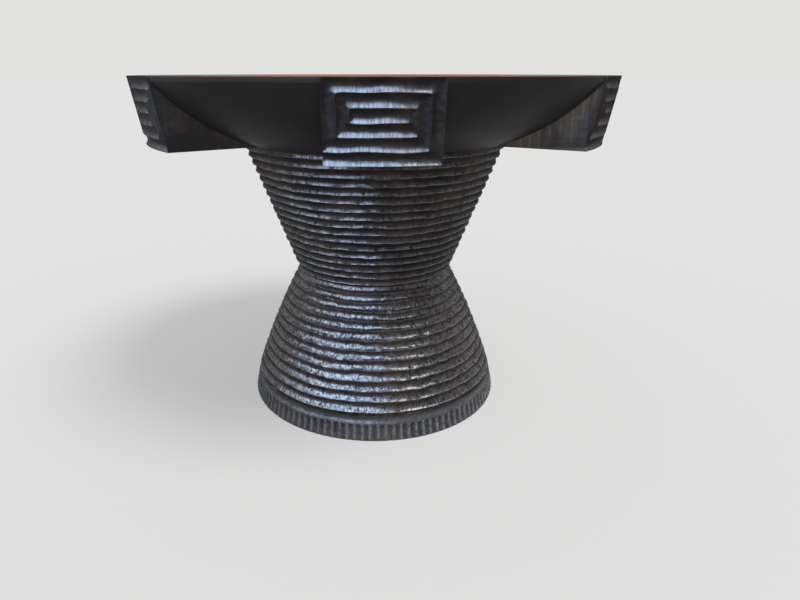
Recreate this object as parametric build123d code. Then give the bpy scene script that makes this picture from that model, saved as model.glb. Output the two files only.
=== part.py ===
"""African drum table: a round top over a turned bowl with six carved lugs, on an hourglass
drum pedestal cut all over with rings.

Millimetres, +Z up, origin on the floor under the centre of the table. The front lug faces -Y.
Every piece is a separate solid. Glued joints keep a thin glue gap round the glued faces, and
screws sit in holes a little wider than they are.
"""

import os
from math import asin, atan2, cos, degrees, hypot, sin, sqrt

from build123d import *

# ---- Driving dimensions ----------------------------------------------------------------

# Whole table
table_height = 745.0
top_radius = 510.0  # to the outside of the lugs, at the top

# Joints
glue_gap = 0.2  # between two glued faces
hole_clearance = 0.1  # round a screw in its hole

# Top board, let into the bowl's rim, with two dovetailed battens across it
board_thickness = 24.0
batten_width = 60.0
batten_thickness = 22.0
batten_offset = 150.0  # each batten's centre line from the middle of the board
batten_end_gap = 12.0  # batten's end to the side of the bowl's hollow
dovetail_depth = 8.0
dovetail_flare = 5.0  # dovetail's spread past the batten's neck, each side
dovetail_neck = 44.0

# Bowl
bowl_depth = 134.0  # top face down to the pedestal
rim_band = 8.0  # upright band round the rim
rim_wall = 23.0  # rim's width outside the top board
bowl_swell = 20.0  # bulge of the underside past a straight cone
bowl_overhang = 4.0  # bowl's foot past the top of the pedestal
bowl_floor = 34.0
bowl_hollow_radius = 330.0
register_height = 10.0  # boss that centres the bowl in the drum's mouth

# Lugs
lug_count = 6
lug_proud = 3.0  # lug's face past the rim
lug_width = 182.0
lug_height = 127.0
lug_lean = 19.5  # face runs in by this much from top to bottom
tongue_width = 110.0  # loose tongue between each lug and the bowl
tongue_thickness = 16.0
tongue_length = 60.0
tongue_end_gap = 1.0

# Squared spiral cut in each lug's face
spiral_rows = 6
spiral_column = 20.5
spiral_end_columns = 2.6
spiral_groove_width = 8.0
spiral_groove_depth = 5.0

# Pedestal
crown_radius = 296.0  # top of the upper drum
waist_radius = 183.0
waist_height = 312.0
drum_bore_radius = 180.0
waist_block = 100.0  # solid wood each side of the waist
upper_rings = 17
lower_rings = 13
lower_ring_growth = 1.16  # lowest ring's height over the highest one's
ring_depth = 4.5
ring_crest = 0.68  # crest's place down each ring
tenon_radius = 95.0
tenon_length = 150.0

# Bell and foot
bell_swell = 6.0  # bulge of the bell past a straight cone
bell_radius = 295.0  # where the rings end
bell_foot = 55.5  # height where the rings end
foot_band_radius = 298.5  # top of the foot's band
foot_band_height = 37.0
foot_radius = 307.0

# Base board, let into the foot
base_board_radius = 215.0
base_board_thickness = 22.0
base_board_recess = 6.0

# Coach screws with square plate washers
crown_screw_count = 6
crown_screw_radius = 5.0
crown_screw_length = 90.0
crown_head_across_flats = 17.0
crown_head_height = 7.0
crown_washer_width = 32.0
crown_washer_thickness = 3.0

# ---- Sizes that follow -----------------------------------------------------------------

drum_top = table_height - bowl_depth
rim_radius = top_radius - lug_proud
board_radius = rim_radius - rim_wall
board_seat = table_height - board_thickness
hollow_floor = drum_top + bowl_floor
bowl_foot_radius = crown_radius + bowl_overhang
lug_bottom = table_height - lug_height
lug_face_length = hypot(lug_height, lug_lean)
crown_screw_circle = (crown_radius + drum_bore_radius) / 2
base_board_top = base_board_recess + base_board_thickness

lug_names = ["front", "front_right", "back_right", "back", "back_left", "front_left"]


# ---- Helpers ---------------------------------------------------------------------------


class SwelledArc:
    """A circular arc from p to q in the r-z section, bulging by swell to the right of p-q."""

    def __init__(self, p, q, swell):
        chord = hypot(q[0] - p[0], q[1] - p[1])
        along = ((q[0] - p[0]) / chord, (q[1] - p[1]) / chord)
        self.normal = (along[1], -along[0])
        self.radius = chord**2 / (8 * swell) + swell / 2
        inset = self.radius - swell
        self.centre = (
            (p[0] + q[0]) / 2 - self.normal[0] * inset,
            (p[1] + q[1]) / 2 - self.normal[1] * inset,
        )
        self.start = atan2(p[1] - self.centre[1], p[0] - self.centre[0])
        self.sweep = 2 * asin(chord / 2 / self.radius)

    def at(self, share, outward=0.0):
        """Point at a share of the way from p to q, moved outward from the arc."""
        angle = self.start + self.sweep * share
        reach = self.radius + outward
        return (self.centre[0] + reach * cos(angle), self.centre[1] + reach * sin(angle))

    def r_at(self, z):
        """Outer radius where the arc crosses the height z."""
        return self.centre[0] + sqrt(self.radius**2 - (z - self.centre[1]) ** 2)

    def edge(self):
        """The arc as an edge in the XZ plane."""
        return ThreePointArc(*[flat(self.at(share)) for share in (0, 0.5, 1)])


def flat(point):
    """A section point (r, z) as a point in the XZ plane."""
    return (point[0], 0, point[1])


def line(*points):
    """Straight edges through section points."""
    return Polyline(*[flat(point) for point in points])


def turned(*edges):
    """The solid of revolution about Z of a closed section."""
    return revolve(make_face(list(edges)), Axis.Z, 360)


def post(radius, low, high):
    """An upright cylinder about Z between two heights."""
    return Pos(0, 0, low) * Cylinder(
        radius, high - low, align=(Align.CENTER, Align.CENTER, Align.MIN)
    )


def around(piece, count):
    """Copies of a piece at equal angles about Z."""
    return [Rot(0, 0, 360 * i / count) * piece for i in range(count)]


bowl_arc = SwelledArc(
    (bowl_foot_radius, drum_top), (rim_radius, table_height - rim_band), bowl_swell
)
bell_arc = SwelledArc((bell_radius, bell_foot), (waist_radius, waist_height), bell_swell)


# ---- Top board and battens ---------------------------------------------------------------


def batten_bar(grow=0.0):
    """A batten along X with its dovetail up, or, grown, the groove that it slides in."""
    neck = dovetail_neck / 2 + grow
    half_section = [
        (batten_width / 2 + grow, board_seat - batten_thickness - grow),
        (batten_width / 2 + grow, board_seat),
        (neck, board_seat),
        (neck + dovetail_flare, board_seat + dovetail_depth + grow),
    ]
    mirrored = [(-y, z) for y, z in reversed(half_section)]
    section = make_face(Polyline(*half_section, *mirrored, close=True))
    return extrude(Plane.YZ * section, batten_half_length() + grow, both=True)


def batten_half_length():
    """As long as clears the side of the bowl's hollow."""
    return sqrt(
        (bowl_hollow_radius - batten_end_gap) ** 2 - (batten_offset + batten_width / 2) ** 2
    )


def batten_places():
    """Each batten's place across the board."""
    return [Pos(0, side * batten_offset, 0) for side in (-1, 1)]


def top_board():
    """Round board with the battens' grooves in its underside."""
    board = post(board_radius, board_seat, table_height)
    return board - [place * batten_bar(glue_gap) for place in batten_places()]


def top_battens():
    """Two dovetailed battens that keep the top board flat."""
    return [place * batten_bar() for place in batten_places()]


# ---- Crown screws --------------------------------------------------------------------------


def crown_washers():
    """Square plate washers under the crown screws' heads."""
    plate = Box(crown_washer_width, crown_washer_width, crown_washer_thickness)
    place = Pos(crown_screw_circle, 0, hollow_floor + crown_washer_thickness / 2)
    hole = Cylinder(crown_screw_radius + hole_clearance, crown_washer_thickness)
    return around(place * (plate - hole), crown_screw_count)


def crown_screws():
    """Hexagon-headed coach screws down through the bowl's floor into the upper drum."""
    seat = hollow_floor + crown_washer_thickness
    head = Pos(0, 0, seat) * extrude(
        RegularPolygon(crown_head_across_flats / 2, 6, major_radius=False), crown_head_height
    )
    screw = head + post(crown_screw_radius, seat - crown_screw_length, seat)
    return around(Pos(crown_screw_circle, 0, 0) * screw, crown_screw_count)


def crown_screw_holes():
    """The crown screws' holes, through the bowl's floor and into the drum."""
    tip = hollow_floor + crown_washer_thickness - crown_screw_length
    hole = post(crown_screw_radius + hole_clearance, tip - hole_clearance, board_seat)
    return around(Pos(crown_screw_circle, 0, 0) * hole, crown_screw_count)


# ---- Lugs --------------------------------------------------------------------------------


def lug_block(grow=0.0):
    """A lug's plain wedge, centred on -Y: conical face and seat, flat sides and bottom.
    Grown by the glue gap, it is the housing that the bowl gives it."""
    head = board_radius + glue_gap - grow
    toe = bowl_arc.r_at(lug_bottom)
    seat = atan2(board_seat - lug_bottom, head - toe)
    back = grow / sin(seat)
    section = line(
        (head, table_height + grow),
        (top_radius + grow, table_height + grow),
        (top_radius - lug_lean + grow, lug_bottom),
        (toe - back, lug_bottom),
        (head, board_seat + grow),
        (head, table_height + grow),
    )
    half_angle = degrees(asin((lug_width / 2 + grow) / toe)) + 1
    wedge = Rot(0, 0, -90 - half_angle) * revolve(make_face(section), Axis.Z, 2 * half_angle)
    slab = Box(lug_width + 2 * grow, 2 * top_radius, 2 * table_height)
    return wedge & (Pos(0, -top_radius, table_height) * slab)


def spiral_path():
    """Corners of the squared spiral's groove, as (across from the left, down the face)."""
    row = lug_face_length / spiral_rows
    path = [(0, spiral_rows - 1)]
    turns = spiral_rows // 2 - 1
    for turn in range(1, turns + 1):
        near, far = turn * spiral_column, lug_width - turn * spiral_column
        path += [(far, spiral_rows - turn), (far, turn), (near, turn)]
        path += [(near, spiral_rows - 1 - turn)]
    path += [(lug_width - spiral_end_columns * spiral_column, spiral_rows // 2)]
    return [(across, down * row) for across, down in path]


def face_point(across, down):
    """The point of the front lug's conical face at a place on its spiral."""
    x = across - lug_width / 2
    radius = top_radius - lug_lean * down / lug_face_length
    return Vector(
        x, -sqrt(radius**2 - x**2), table_height - lug_height * down / lug_face_length
    )


def groove_section():
    """The V of the spiral's groove: its corners across the cut and out from the face."""
    over = 1.5 * spiral_groove_depth
    half = spiral_groove_width / 2 * (1 + over / spiral_groove_depth)
    return [(0, -spiral_groove_depth), (half, over), (-half, over)]


def row_groove(start, end):
    """A groove along the face at one height, turned about Z, run on past its ends."""
    lean = atan2(lug_lean, lug_height)
    radius = top_radius - start[1] * sin(lean)
    height = table_height - start[1] * cos(lean)
    corners = [
        (
            radius + out * cos(lean) + across * sin(lean),
            height - out * sin(lean) + across * cos(lean),
        )
        for across, out in groove_section()
    ]
    left, right = sorted((start[0], end[0]))
    ends = (left - spiral_groove_width / 2, right + spiral_groove_width / 2)
    first, last = [degrees(asin((across - lug_width / 2) / top_radius)) for across in ends]
    face = make_face(line(*corners, corners[0]))
    return Rot(0, 0, first - 90) * revolve(face, Axis.Z, last - first)


def column_groove(start, end):
    """A groove straight down the face, run on past its ends."""
    top, bottom = sorted((start[1], end[1]))
    low = face_point(start[0], bottom + spiral_groove_width / 2)
    high = face_point(start[0], top - spiral_groove_width / 2)
    outward = Vector(high.X, high.Y, 0).normalized()
    along = high - low
    across = along.cross(outward).normalized()
    plane = Plane(origin=low, x_dir=across, z_dir=along)
    face = make_face(Polyline(*[(c[0], -c[1]) for c in groove_section()], close=True))
    return extrude(plane * face, along.length)


def lug():
    """The front lug with its squared spiral and its mortise."""
    path = spiral_path()
    block = lug_block()
    for start, end in zip(path, path[1:]):
        cut = row_groove if start[1] == end[1] else column_groove
        block -= cut(start, end)
    return block - tongue(glue_gap, tongue_end_gap)


def tongue(grow=0.0, end_gap=0.0):
    """The front lug's loose tongue, square to its seat, or, grown, the two mortises."""
    toe = bowl_arc.r_at(lug_bottom)
    rise, run = board_seat - lug_bottom, board_radius - toe
    bar = Box(
        tongue_width + 2 * grow, tongue_length + 2 * end_gap, tongue_thickness + 2 * grow
    )
    middle = (0, -(toe + board_radius) / 2, (lug_bottom + board_seat) / 2)
    return Pos(*middle) * Rot(degrees(atan2(run, rise)), 0, 0) * bar


def lug_turn(index):
    """How far the lug of that index is turned from the front one."""
    return 360 * index / lug_count


def lug_tongues():
    """All the loose tongues."""
    return [Rot(0, 0, lug_turn(index)) * tongue() for index in range(lug_count)]


# ---- Bowl --------------------------------------------------------------------------------


def bowl():
    """Turned bowl with the board's rebate, a hollow, housings for the lugs and a boss."""
    body = turned(
        line((0, table_height), (0, drum_top), (bowl_foot_radius, drum_top)),
        bowl_arc.edge(),
        line(
            (rim_radius, table_height - rim_band),
            (rim_radius, table_height),
            (0, table_height),
        ),
    )
    hollow = post(bowl_hollow_radius, hollow_floor, board_seat)
    rebate = post(board_radius + glue_gap, board_seat, table_height)
    boss = post(drum_bore_radius - glue_gap, drum_top - register_height, drum_top)
    joint = [lug_block(glue_gap), tongue(glue_gap, tongue_end_gap)]
    joints = [Rot(0, 0, lug_turn(index)) * cut for index in range(lug_count) for cut in joint]
    return body + boss - hollow - rebate - joints - crown_screw_holes()


# ---- Pedestal ------------------------------------------------------------------------------


def ring_shares(count, growth):
    """Where rings begin and end along a side, from its bottom up, when the lowest ring is
    growth times as tall as the highest."""
    heights = [growth + (1 - growth) * i / (count - 1) for i in range(count)]
    return [sum(heights[:i]) / sum(heights) for i in range(count + 1)]


def ringed(place, shares):
    """Section points up a ringed side: grooves cut in, crests at the side itself.
    place(share, out) is a point of the side, moved out from it."""
    points = [place(0, -ring_depth)]
    for low, high in zip(shares, shares[1:]):
        points += [place(high + (low - high) * ring_crest, 0)]
        points += [place(high, -ring_depth)]
    return points


def upper_side(share, out=0.0):
    """A point up the upper drum's side, from the waist to the crown."""
    rise, run = drum_top - waist_height, crown_radius - waist_radius
    slant = hypot(rise, run)
    return (
        waist_radius + run * share + out * rise / slant,
        waist_height + rise * share - out * run / slant * (0 < share < 1),
    )


def bell_side(share, out=0.0):
    """A point up the lower drum's side, from the foot to the waist."""
    r, z = bell_arc.at(share, out)
    return (r, z if 0 < share < 1 else bell_arc.at(share)[1])


def upper_drum():
    """Upper half of the pedestal: ringed, flared and bored down to the waist block."""
    side = ringed(upper_side, ring_shares(upper_rings, 1.0))
    body = turned(line((0, drum_top), (0, waist_height), *side, (0, drum_top)))
    bore = post(drum_bore_radius, waist_height + waist_block, drum_top)
    socket = post(
        tenon_radius + glue_gap, waist_height, waist_height + tenon_length / 2 + glue_gap
    )
    return body - bore - socket - crown_screw_holes()


def waist_tenon():
    """Turned plug, glued half into each drum."""
    half = tenon_length / 2
    return post(tenon_radius, waist_height - half, waist_height + half)


def lower_drum():
    """Lower half of the pedestal: ringed bell on a plain foot, bored up to the waist block."""
    side = ringed(bell_side, ring_shares(lower_rings, lower_ring_growth))
    body = turned(
        line(
            (0, waist_height - glue_gap),
            (0, 0),
            (foot_radius, 0),
            (foot_band_radius, foot_band_height),
            (bell_radius, bell_foot),
            *side[:-1],
            (side[-1][0], waist_height - glue_gap),
            (0, waist_height - glue_gap),
        )
    )
    bore = post(drum_bore_radius, base_board_top, waist_height - waist_block)
    rebate = post(base_board_radius + glue_gap, 0, base_board_top)
    socket = post(
        tenon_radius + glue_gap, waist_height - tenon_length / 2 - glue_gap, waist_height
    )
    return body - bore - rebate - socket


def base_board():
    """Round board that closes the foot, clear of the floor."""
    return post(base_board_radius, base_board_recess, base_board_top)


# ---- Assembly ------------------------------------------------------------------------------


def pieces():
    """Every node by name, with its solids."""
    made = {
        "top_board": top_board(),
        "top_battens": top_battens(),
        "bowl": bowl(),
        "lug_tongues": lug_tongues(),
        "crown_screws": crown_screws(),
        "crown_washers": crown_washers(),
        "upper_drum": upper_drum(),
        "waist_tenon": waist_tenon(),
        "lower_drum": lower_drum(),
        "base_board": base_board(),
    }
    front = lug()
    for index, name in enumerate(lug_names):
        made["lug_" + name] = Rot(0, 0, lug_turn(index)) * front
    return made


os.makedirs("parts", exist_ok=True)
for node, shape in pieces().items():
    if isinstance(shape, list):
        shape = Compound(children=[solid for one in shape for solid in one.solids()])
    export_step(shape, f"parts/{node}.step")
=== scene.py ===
"""Looks of the african drum table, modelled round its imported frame.

Laid out as an add-on: sizes and colours are properties, each piece or group of like pieces has
its operator, and one panel lists them. Metres, +Z up, origin on the floor under the table's
centre. The front lug faces -Y.
"""

import math

import bpy
import numpy as np
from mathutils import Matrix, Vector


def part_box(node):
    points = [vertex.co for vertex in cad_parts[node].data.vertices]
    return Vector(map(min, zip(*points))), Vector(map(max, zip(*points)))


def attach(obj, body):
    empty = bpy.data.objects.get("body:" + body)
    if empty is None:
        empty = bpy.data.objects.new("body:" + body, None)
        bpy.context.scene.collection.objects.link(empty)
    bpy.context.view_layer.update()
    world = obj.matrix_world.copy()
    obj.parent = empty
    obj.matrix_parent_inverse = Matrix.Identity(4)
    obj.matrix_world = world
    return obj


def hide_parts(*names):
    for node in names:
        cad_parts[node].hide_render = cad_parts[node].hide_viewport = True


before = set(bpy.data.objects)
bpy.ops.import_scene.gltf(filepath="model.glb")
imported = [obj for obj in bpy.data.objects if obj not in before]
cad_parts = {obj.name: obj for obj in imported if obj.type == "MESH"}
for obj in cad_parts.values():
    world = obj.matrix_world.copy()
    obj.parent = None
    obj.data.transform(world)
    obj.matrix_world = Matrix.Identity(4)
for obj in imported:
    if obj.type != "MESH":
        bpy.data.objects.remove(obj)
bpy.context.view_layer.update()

bl_info = {
    "name": "African Drum Table",
    "version": (1, 0, 0),
    "blender": (4, 5, 0),
    "location": "3D View > Sidebar > Drum Table",
    "description": "Models and finishes a carved drum table",
    "category": "Mesh",
}

MM = 0.001
LUG_NAMES = ["front", "front_right", "back_right", "back", "back_left", "front_left"]
PLACES = len(LUG_NAMES)  # lugs round the rim, and crown screws inside it
ROUND_STEPS = 288  # faces round the bowl and the board
UPPER_STEPS = 360  # faces round the upper drum
FLUTE_STEPS = 6  # faces round the lower drum for each flute
SWELL_STEPS = 32  # faces up the bowl's underside
HOUSING_STEPS = 12  # faces across half a lug's housing
SOFT_EDGE = 50  # degrees: a carved edge shades softly up to this angle
CRISP_EDGE = 30  # degrees: the same for a turned or planed edge
NO_POLISH = -0.38  # a cloth reaches no surface whose normal falls further than this
FULL_POLISH = 0.45  # and polishes those best that rise more than this
OVERCUT = 5 * MM  # how far a cutter runs out of the wood
BATTEN_END_GAP = 12 * MM  # a batten's end to the side of the bowl's hollow


# ---- Sizes and colours -------------------------------------------------------------------


def length(name, description, default):
    """A size that a user can change, in metres."""
    return bpy.props.FloatProperty(
        name=name, description=description, default=default, unit="LENGTH", precision=4
    )


def count(name, description, default):
    """A number of like things."""
    return bpy.props.IntProperty(name=name, description=description, default=default, min=1)


def colour(name, description, default):
    """A colour that a user can change."""
    return bpy.props.FloatVectorProperty(
        name=name, description=description, default=default, subtype="COLOR", min=0, max=1
    )


class DrumTableSizes(bpy.types.PropertyGroup):
    """Sizes of the table's forms and of its carving."""

    table_height: length("Table height", "Floor to top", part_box("top_board")[1].z)
    board_radius: length("Board radius", "Top board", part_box("top_board")[1].x)
    board_seat: length("Board seat", "Underside of the board", 721 * MM)
    board_arris: length("Board arris", "Bevel round the board's edge", 0.6 * MM)
    batten_offset: length("Batten offset", "Batten's middle from the board's", 150 * MM)
    batten_width: length("Batten width", "Across the batten", 60 * MM)
    batten_neck: length("Batten neck", "Across the dovetail's narrow side", 44 * MM)
    dovetail_depth: length("Dovetail depth", "Up into the board", 8 * MM)
    dovetail_flare: length("Dovetail flare", "Spread past the neck, each side", 5 * MM)
    glue_gap: length("Glue gap", "Between two glued faces", 0.2 * MM)

    rim_radius: length("Rim radius", "Outside of the bowl's rim", 507 * MM)
    rim_band: length("Rim band", "Upright band round the rim", 8 * MM)
    rim_arris: length("Rim arris", "Rounding of the rim's edges", 1.2 * MM)
    bowl_foot_radius: length("Bowl foot radius", "Where the bowl meets the drum", 300 * MM)
    bowl_swell: length("Bowl swell", "Bulge of the bowl's underside", 20 * MM)
    bowl_floor: length("Bowl floor", "Thickness over the drum", 34 * MM)
    bowl_hollow: length("Bowl hollow", "Radius of the bowl's hollow", 330 * MM)
    boss_height: length("Boss height", "Boss that centres the bowl", 10 * MM)
    screw_circle: length("Screw circle", "Radius of the crown screws' places", 238 * MM)
    screw_hole: length("Screw hole", "Radius of a crown screw's hole", 5.1 * MM)
    screw_reach: length("Screw reach", "Length of a screw under its head", 90.1 * MM)
    washer: length("Washer", "Thickness of the screws' washers", 3 * MM)

    lug_top_radius: length("Lug radius", "Lug's face at its top", -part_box("lug_front")[0].y)
    lug_bottom: length("Lug bottom", "Floor to the lug's bottom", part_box("lug_front")[0].z)
    lug_lean: length("Lug lean", "Face runs in by this much", 19.5 * MM)
    lug_width: length("Lug width", "Across a lug", 182 * MM)
    spiral_column: length("Spiral column", "Width of its upright channels", 20.5 * MM)
    spiral_end: length("Spiral end", "The ridge's inner end from the right", 53.3 * MM)
    spiral_rows: count("Spiral rows", "Channels down a lug's face", 6)
    spiral_depth: length("Spiral depth", "Depth of the spiral's scooped channel", 5.2 * MM)
    spiral_round: length("Spiral corners", "Rounding of the ridge's corners", 6.0 * MM)
    spiral_crest: length("Spiral crest", "Rounding of the ridge between its turns", 0.7 * MM)
    spiral_wander: length("Spiral wander", "Unevenness of the spiral's lines", 0.8 * MM)
    tongue_width: length("Tongue width", "Across a loose tongue", 110 * MM)
    tongue_thickness: length("Tongue thickness", "Through a loose tongue", 16 * MM)
    tongue_length: length("Tongue length", "Tongue with its clearance", 62 * MM)

    drum_top: length("Drum top", "Floor to the top of the pedestal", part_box("upper_drum")[1].z)
    crown_radius: length("Crown radius", "Top of the pedestal", 296 * MM)
    waist_radius: length("Waist radius", "Where the two drums meet", 183 * MM)
    waist_height: length("Waist height", "Floor to the waist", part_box("upper_drum")[0].z)
    waist_block: length("Waist block", "Solid wood each side of the waist", 100 * MM)
    bore_radius: length("Bore radius", "Hollow of the drums", 180 * MM)
    socket_radius: length("Socket radius", "For the waist tenon", 95.2 * MM)
    socket_depth: length("Socket depth", "For half the waist tenon", 75.2 * MM)
    upper_rings: count("Upper rings", "Rings cut in the upper drum", 17)
    lower_rings: count("Lower rings", "Rings cut in the lower drum", 13)
    lower_ring_growth: bpy.props.FloatProperty(
        name="Ring growth", description="Lowest ring's height over the highest", default=1.16
    )
    upper_scoop: length("Upper scoops", "Depth of the upper rings' scoops", 4.8 * MM)
    lower_scoop: length("Lower scoops", "Depth of the lower rings' scoops", 3.8 * MM)
    ring_wander: length("Ring wander", "Unevenness of the rings' ridges", 1.5 * MM)
    tool_marks: length("Tool marks", "Depth of the gouge's facets", 0.9 * MM)
    chips: length("Chips", "Depth of the chips in the ridges", 1.7 * MM)

    bell_radius: length("Bell radius", "Where the bell's rings end", 295 * MM)
    bell_foot: length("Bell foot", "Floor to the end of the rings", 55.5 * MM)
    bell_swell: length("Bell swell", "Bulge of the bell", 6 * MM)
    foot_band_radius: length("Band radius", "Top of the fluted band", 298.5 * MM)
    foot_band_height: length("Band height", "Floor to the top of the flutes", 37 * MM)
    foot_radius: length("Foot radius", "At the floor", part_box("lower_drum")[1].x)
    base_recess: length("Base recess", "Radius of the base board's rebate", 215.2 * MM)
    base_depth: length("Base depth", "Depth of the base board's rebate", 28 * MM)
    flutes: count("Flutes", "Flutes round the foot", 110)
    flute_depth: length("Flute depth", "Depth of a flute", 3.0 * MM)


class DrumTableColours(bpy.types.PropertyGroup):
    """Colours of the finishes."""

    stain: colour("Stain", "Black stain", (0.0095, 0.009, 0.0095))
    stain_thin: colour("Thin stain", "Stain worn thin", (0.048, 0.037, 0.033))
    dust: colour("Dust", "Red-brown dust in the hollows", (0.058, 0.027, 0.016))
    worn: colour("Worn", "Red-brown wood showing under the ridges", (0.150, 0.058, 0.030))
    # painted highlight: a pale bluish colour that stands in for the glint on the ridges and the
    # flutes' arrises, and for a sheen on the foot band
    painted_highlight: colour("Bloom", "Dried wax on the ridges", (0.28, 0.29, 0.34))
    # growth colour of the lugs' sides, also used as painted light: laid on more strongly towards
    # +X
    growth: colour("Growth", "Growth lines on the lugs' sides", (0.200, 0.150, 0.112))
    bowl: colour("Bowl", "Stain of the bowl", (0.015, 0.015, 0.016))
    bowl_thin: colour("Bowl, thin", "Bowl's stain where it is thin", (0.026, 0.024, 0.023))
    top_dark: colour("Top, dark", "Late wood of the top board", (0.150, 0.050, 0.022))
    top_light: colour("Top, light", "Early wood of the top board", (0.360, 0.145, 0.062))
    bare_dark: colour("Bare, dark", "Late wood of the bare pieces", (0.280, 0.160, 0.080))
    bare_light: colour("Bare, light", "Early wood of the bare pieces", (0.480, 0.320, 0.190))
    zinc: colour("Zinc", "Plating of the screws", (0.62, 0.62, 0.60))
    floor: colour("Floor", "Studio floor and backdrop", (0.760, 0.760, 0.745))


# ---- Modelling helpers -------------------------------------------------------------------


def sizes():
    """The sizes in use."""
    return bpy.context.scene.drum_table_sizes


def colours():
    """The colours in use."""
    return bpy.context.scene.drum_table_colours


class SwelledArc:
    """A circular arc from p to q in the r-z section, bulging by swell to the right of p-q."""

    def __init__(self, p, q, swell):
        chord = math.dist(p, q)
        along = ((q[0] - p[0]) / chord, (q[1] - p[1]) / chord)
        self.radius = chord**2 / (8 * swell) + swell / 2
        inset = self.radius - swell
        self.centre = (
            (p[0] + q[0]) / 2 - along[1] * inset,
            (p[1] + q[1]) / 2 + along[0] * inset,
        )
        self.start = math.atan2(p[1] - self.centre[1], p[0] - self.centre[0])
        self.sweep = 2 * math.asin(chord / 2 / self.radius)

    def at(self, share, out=0.0):
        """Point at a share of the way from p to q, moved outward from the arc."""
        angle = self.start + self.sweep * share
        reach = self.radius + out
        return (
            self.centre[0] + reach * math.cos(angle),
            self.centre[1] + reach * math.sin(angle),
        )

    def r_at(self, z):
        """Radius where the arc crosses the height z."""
        return self.centre[0] + math.sqrt(self.radius**2 - (z - self.centre[1]) ** 2)


def bowl_arc():
    """The underside of the bowl."""
    s = sizes()
    foot = (s.bowl_foot_radius, s.drum_top)
    return SwelledArc(foot, (s.rim_radius, s.table_height - s.rim_band), s.bowl_swell)


def select_only(piece):
    """Makes a piece the only one selected, and the active one."""
    bpy.ops.object.select_all(action="DESELECT")
    bpy.context.view_layer.objects.active = piece
    piece.select_set(True)


def editing(piece):
    """Opens a piece in edit mode, with all of it selected."""
    select_only(piece)
    bpy.ops.object.mode_set(mode="EDIT")
    bpy.ops.mesh.select_mode(type="VERT")
    bpy.ops.mesh.select_all(action="SELECT")


def done():
    """Back to object mode."""
    bpy.ops.object.mode_set(mode="OBJECT")


def outline(name, points):
    """An open outline in the XZ plane, drawn by extruding one vertex from point to point."""
    bpy.ops.object.select_all(action="DESELECT")
    start = points[0]
    bpy.ops.mesh.primitive_plane_add(size=MM, location=(start[0], 0, start[1]))
    bpy.ops.object.transform_apply(location=True)
    piece = bpy.context.object
    piece.name = name
    piece.data.name = name
    editing(piece)
    bpy.ops.mesh.merge(type="CENTER")
    for (r, z), (next_r, next_z) in zip(points, points[1:]):
        step = {"value": (next_r - r, 0, next_z - z)}
        bpy.ops.mesh.extrude_vertices_move(TRANSFORM_OT_translate=step)
    done()
    return piece


def extrude_along_x(piece, columns, middle, sense):
    """Stands an outline across the X axis, its r now measured from middle along Y, and
    extrudes it from column to column."""
    points = points_of(piece)
    start = np.full(len(points), columns[0])
    move_points(piece, np.stack([start, middle + sense * points[:, 0], points[:, 2]], axis=1))
    editing(piece)
    bpy.ops.mesh.edge_face_add()
    for column, following in zip(columns, columns[1:]):
        step = {"value": (following - column, 0, 0)}
        bpy.ops.mesh.extrude_region_move(TRANSFORM_OT_translate=step)
    bpy.ops.mesh.select_all(action="SELECT")
    bpy.ops.mesh.normals_make_consistent(inside=False)
    done()


def turn(piece, steps):
    """Turns an outline all round the table's axis, and closes its seam and poles."""
    select_only(piece)
    screw = piece.modifiers.new("turned", "SCREW")
    screw.axis = "Z"
    screw.angle = math.tau
    screw.steps = steps
    screw.render_steps = steps
    bpy.ops.object.modifier_apply(modifier=screw.name)
    editing(piece)
    bpy.ops.mesh.remove_doubles(threshold=0.01 * MM)
    bpy.ops.mesh.normals_make_consistent(inside=False)
    done()


def smooth(piece, angle):
    """Smooth shading, with sharp edges past the angle in degrees."""
    select_only(piece)
    bpy.ops.object.shade_smooth_by_angle(angle=math.radians(angle))


def cut(piece, cutters):
    """Takes the cutters out of a piece and deletes them."""
    for cutter in cutters:
        select_only(piece)
        modifier = piece.modifiers.new("cut", "BOOLEAN")
        modifier.operation = "DIFFERENCE"
        modifier.solver = "EXACT"
        modifier.object = cutter
        bpy.ops.object.modifier_apply(modifier=modifier.name)
        bpy.data.objects.remove(cutter)


def copy_turned(piece, name, angle):
    """A copy of a piece with its own mesh, turned about the table's axis."""
    copy = piece.copy()
    copy.data = piece.data.copy()
    copy.name = name
    copy.data.name = name
    bpy.context.scene.collection.objects.link(copy)
    select_only(copy)
    copy.rotation_euler.z = angle
    bpy.ops.object.transform_apply(rotation=True)
    return copy


def points_of(piece):
    """A piece's points as an array of rows."""
    flat = np.empty(len(piece.data.vertices) * 3)
    piece.data.vertices.foreach_get("co", flat)
    return flat.reshape(-1, 3)


def move_points(piece, points):
    """Puts a piece's points in their new places."""
    piece.data.vertices.foreach_set("co", points.astype(np.float32).ravel())
    piece.data.update()


def mark(piece, name, values):
    """Keeps a number for each point of a piece, for carving or for its finish."""
    attribute = piece.data.attributes.get(name)
    if attribute is None:
        attribute = piece.data.attributes.new(name, "FLOAT", "POINT")
    attribute.data.foreach_set("value", np.asarray(values, np.float32))


def marks(piece, name):
    """The numbers kept under a name."""
    values = np.empty(len(piece.data.vertices), np.float32)
    piece.data.attributes[name].data.foreach_get("value", values)
    return values.astype(float)


def mark_polish(piece):
    """Marks how far each point faces up or out, where a cloth and wax can reach it."""
    normals = np.empty(len(piece.data.vertices) * 3)
    piece.data.vertices.foreach_get("normal", normals)
    rise = normals.reshape(-1, 3)[:, 2]
    reach = (rise - NO_POLISH) / (FULL_POLISH - NO_POLISH)
    mark(piece, "polish", np.clip(reach, 0, 1))


def finish_piece(piece, material, slot, *nodes):
    """Gives a piece its finish and its place in the part."""
    piece.data.materials.clear()
    piece.data.materials.append(material)
    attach(piece, "root")
    if nodes:
        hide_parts(*nodes)


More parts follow.
